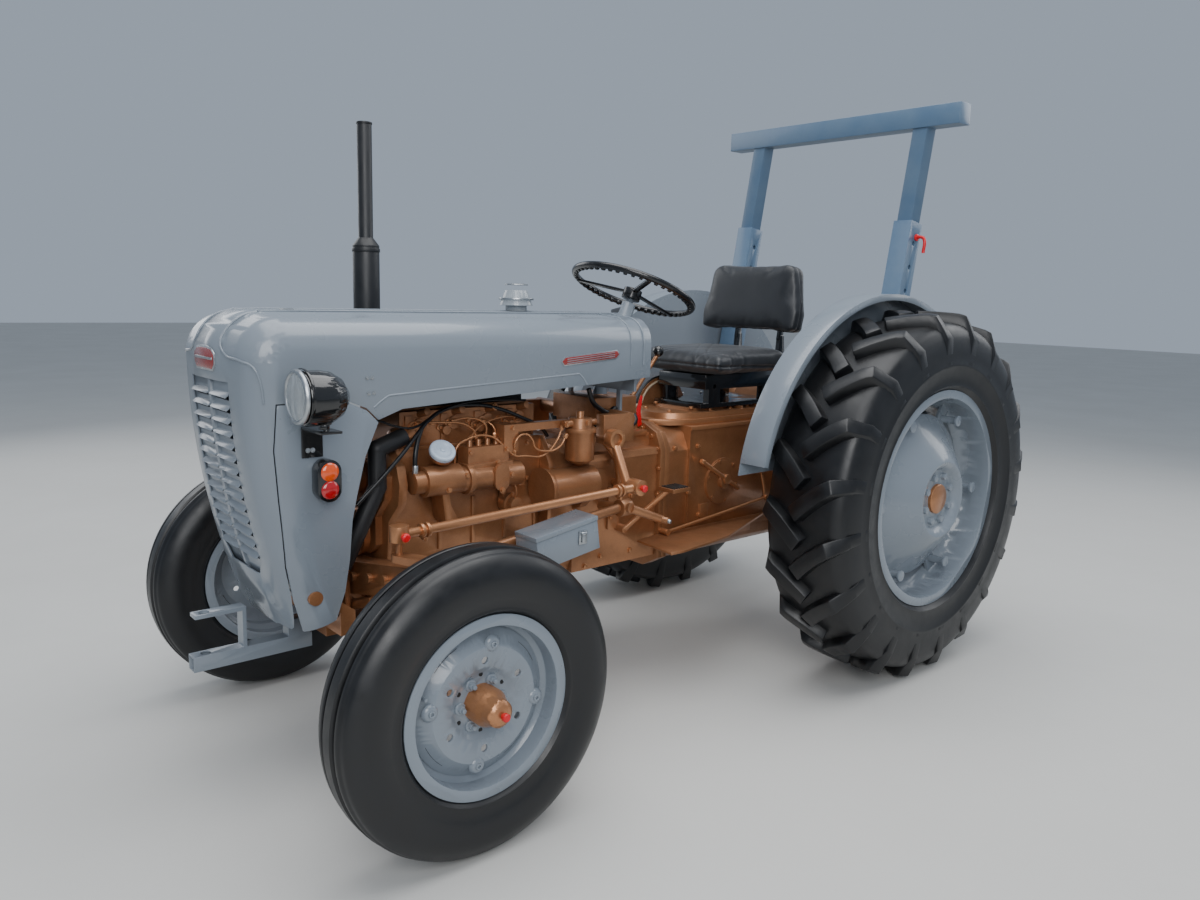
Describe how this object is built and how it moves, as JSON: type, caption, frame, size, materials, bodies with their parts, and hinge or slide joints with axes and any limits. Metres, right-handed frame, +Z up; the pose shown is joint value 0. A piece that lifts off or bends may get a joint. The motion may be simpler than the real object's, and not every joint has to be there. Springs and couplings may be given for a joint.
{
  "type": "vintage utility tractor",
  "caption": "Vintage utility tractor with a tilting bonnet, steered front wheels, lifting rear links and a telescoping rollbar.",
  "frame": {"origin": "on the ground under the middle of the overall length", "axes": "+X forward, +Y to the left, +Z up"},
  "size_m": [3.049, 1.572, 2.041],
  "materials": {
    "copper_paint": "metallic copper paint, satin",
    "grey_paint": "grey gloss paint",
    "black_paint": "black gloss paint",
    "bar_paint": "blue-grey paint",
    "tyre_rubber": "black, slightly shiny",
    "hose_rubber": "black, satin",
    "seat_vinyl": "black vinyl, smooth",
    "lamp_plastic": "amber lens on a black base",
    "clear_plastic": "smoked clear bowl",
    "wheel_plastic": "black, gloss"
  },
  "bodies": {
    "chassis": {"engine": "copper_paint", "injection_set": "copper_paint", "gearbox": "copper_paint", "rear_housing": "copper_paint", "lift_cover": "copper_paint", "rear_axle": "copper_paint", "front_support": "copper_paint", "front_axle": "copper_paint", "radiator": "black_paint", "radiator_hoses": "hose_rubber", "exhaust": "black_paint", "fuel_tank": "grey_paint", "steering_column": "grey_paint", "seat_cushion": "seat_vinyl", "seat_back": "seat_vinyl", "seat_frame": "black_paint", "fender_left": "grey_paint", "fender_right": "grey_paint", "rollbar_foot_left": "bar_paint", "rollbar_foot_right": "bar_paint", "toolbox": "grey_paint", "footrest_left": "copper_paint", "footrest_right": "copper_paint", "front_hitch": "grey_paint"},
    "bonnet": {"bonnet": "grey_paint", "grille": "grey_paint", "pre_cleaner": "clear_plastic", "side_panel_left": "grey_paint", "side_panel_right": "grey_paint", "headlamp_left": "black_paint", "headlamp_right": "black_paint", "indicator_left": "lamp_plastic", "indicator_right": "lamp_plastic"},
    "steering_wheel": {"steering_wheel": "wheel_plastic"},
    "rollbar_hoop": {"rollbar_hoop": "bar_paint"},
    "toolbox_lid": {"toolbox_lid": "grey_paint"},
    "lift_arms": {"lift_arms": "copper_paint"},
    "rear_wheel_left": {"rear_tyre_left": "tyre_rubber", "rear_rim_left": "grey_paint"},
    "front_wheel_left": {"front_tyre_left": "tyre_rubber", "front_rim_left": "grey_paint"},
    "knuckle_left": {"knuckle_left": "copper_paint"},
    "drop_arm_left": {"drop_arm_left": "copper_paint"},
    "drag_link_left": {"drag_link_left": "copper_paint"},
    "lower_link_left": {"lower_link_left": "copper_paint"},
    "lift_rod_left": {"lift_rod_left": "copper_paint"},
    "rear_wheel_right": {"rear_tyre_right": "tyre_rubber", "rear_rim_right": "grey_paint"},
    "front_wheel_right": {"front_tyre_right": "tyre_rubber", "front_rim_right": "grey_paint"},
    "knuckle_right": {"knuckle_right": "copper_paint"},
    "drop_arm_right": {"drop_arm_right": "copper_paint"},
    "drag_link_right": {"drag_link_right": "copper_paint"},
    "lower_link_right": {"lower_link_right": "copper_paint"},
    "lift_rod_right": {"lift_rod_right": "copper_paint"}
  },
  "joints": [
    {"name": "steer_left", "type": "hinge", "parent": "chassis", "child": "knuckle_left", "pos_m": [1.0815, 0.505, 0.372], "axis": [0, 0, 1], "range_deg": [-38, 38]},
    {"name": "front_wheel_spin_left", "type": "hinge", "parent": "knuckle_left", "child": "front_wheel_left", "pos_m": [1.0815, 0.629, 0.372], "axis": [0, 1, 0], "continuous": true},
    {"name": "rear_wheel_spin_left", "type": "hinge", "parent": "chassis", "child": "rear_wheel_left", "pos_m": [-0.7475, 0.625, 0.645], "axis": [0, 1, 0], "continuous": true},
    {"name": "drop_arm_swing_left", "type": "hinge", "parent": "chassis", "child": "drop_arm_left", "pos_m": [0.3385, 0.262, 0.88], "axis": [0, 1, 0], "range_deg": [-38, 38]},
    {"name": "drag_link_turn_left", "type": "hinge", "parent": "knuckle_left", "child": "drag_link_left", "pos_m": [1.1375, 0.375, 0.722], "axis": [0, 0, 1], "range_deg": [-38, 38]},
    {"name": "steer_right", "type": "hinge", "parent": "chassis", "child": "knuckle_right", "pos_m": [1.0815, -0.505, 0.372], "axis": [0, 0, 1], "range_deg": [-38, 38]},
    {"name": "front_wheel_spin_right", "type": "hinge", "parent": "knuckle_right", "child": "front_wheel_right", "pos_m": [1.0815, -0.629, 0.372], "axis": [0, 1, 0], "continuous": true},
    {"name": "rear_wheel_spin_right", "type": "hinge", "parent": "chassis", "child": "rear_wheel_right", "pos_m": [-0.7475, -0.625, 0.645], "axis": [0, 1, 0], "continuous": true},
    {"name": "drop_arm_swing_right", "type": "hinge", "parent": "chassis", "child": "drop_arm_right", "pos_m": [0.3385, -0.262, 0.88], "axis": [0, 1, 0], "range_deg": [-38, 38]},
    {"name": "drag_link_turn_right", "type": "hinge", "parent": "knuckle_right", "child": "drag_link_right", "pos_m": [1.1375, -0.375, 0.722], "axis": [0, 0, 1], "range_deg": [-38, 38]},
    {"name": "steering_wheel_turn", "type": "hinge", "parent": "chassis", "child": "steering_wheel", "pos_m": [0.0295, 0, 1.334], "axis": [-0.3746, 0, 0.9272], "range_deg": [-456, 456]},
    {"name": "bonnet_tilt", "type": "hinge", "parent": "chassis", "child": "bonnet", "pos_m": [1.2965, 0, 0.555], "axis": [0, 1, 0], "range_deg": [0, 50]},
    {"name": "toolbox_lid_open", "type": "hinge", "parent": "chassis", "child": "toolbox_lid", "pos_m": [0.51551, 0.294, 0.67701], "axis": [0.9885, 0, -0.1513], "range_deg": [0, 25]},
    {"name": "rollbar_slide", "type": "slide", "parent": "chassis", "child": "rollbar_hoop", "axis": [-0.1736, 0, 0.9848], "range_m": [-0.3, 0]},
    {"name": "lift_arms_raise", "type": "hinge", "parent": "chassis", "child": "lift_arms", "pos_m": [-0.8075, 0, 0.905], "axis": [0, 1, 0], "range_deg": [-22, 44]},
    {"name": "lower_link_raise_left", "type": "hinge", "parent": "chassis", "child": "lower_link_left", "pos_m": [-0.6875, 0.215, 0.405], "axis": [0, 1, 0], "range_deg": [-14, 28]},
    {"name": "lift_rod_swing_left", "type": "hinge", "parent": "lift_arms", "child": "lift_rod_left", "pos_m": [-1.0775, 0.262, 0.872], "axis": [0, 1, 0], "range_deg": [-44, 22]},
    {"name": "lower_link_raise_right", "type": "hinge", "parent": "chassis", "child": "lower_link_right", "pos_m": [-0.6875, -0.215, 0.405], "axis": [0, 1, 0], "range_deg": [-14, 28]},
    {"name": "lift_rod_swing_right", "type": "hinge", "parent": "lift_arms", "child": "lift_rod_right", "pos_m": [-1.0775, -0.262, 0.872], "axis": [0, 1, 0], "range_deg": [-44, 22]}
  ],
  "couplings": [
    {"joint": "steer_right", "follows": "steer_left", "ratio": 1},
    {"joint": "steering_wheel_turn", "follows": "steer_left", "ratio": 12},
    {"joint": "drop_arm_swing_left", "follows": "steer_left", "ratio": -0.97},
    {"joint": "drop_arm_swing_right", "follows": "steer_left", "ratio": 0.97},
    {"joint": "drag_link_turn_left", "follows": "steer_left", "ratio": -0.935},
    {"joint": "drag_link_turn_right", "follows": "steer_left", "ratio": -0.935},
    {"joint": "lower_link_raise_left", "follows": "lift_arms_raise", "ratio": 0.628},
    {"joint": "lift_rod_swing_left", "follows": "lift_arms_raise", "ratio": -1},
    {"joint": "lower_link_raise_right", "follows": "lift_arms_raise", "ratio": 0.628},
    {"joint": "lift_rod_swing_right", "follows": "lift_arms_raise", "ratio": -1}
  ]
}
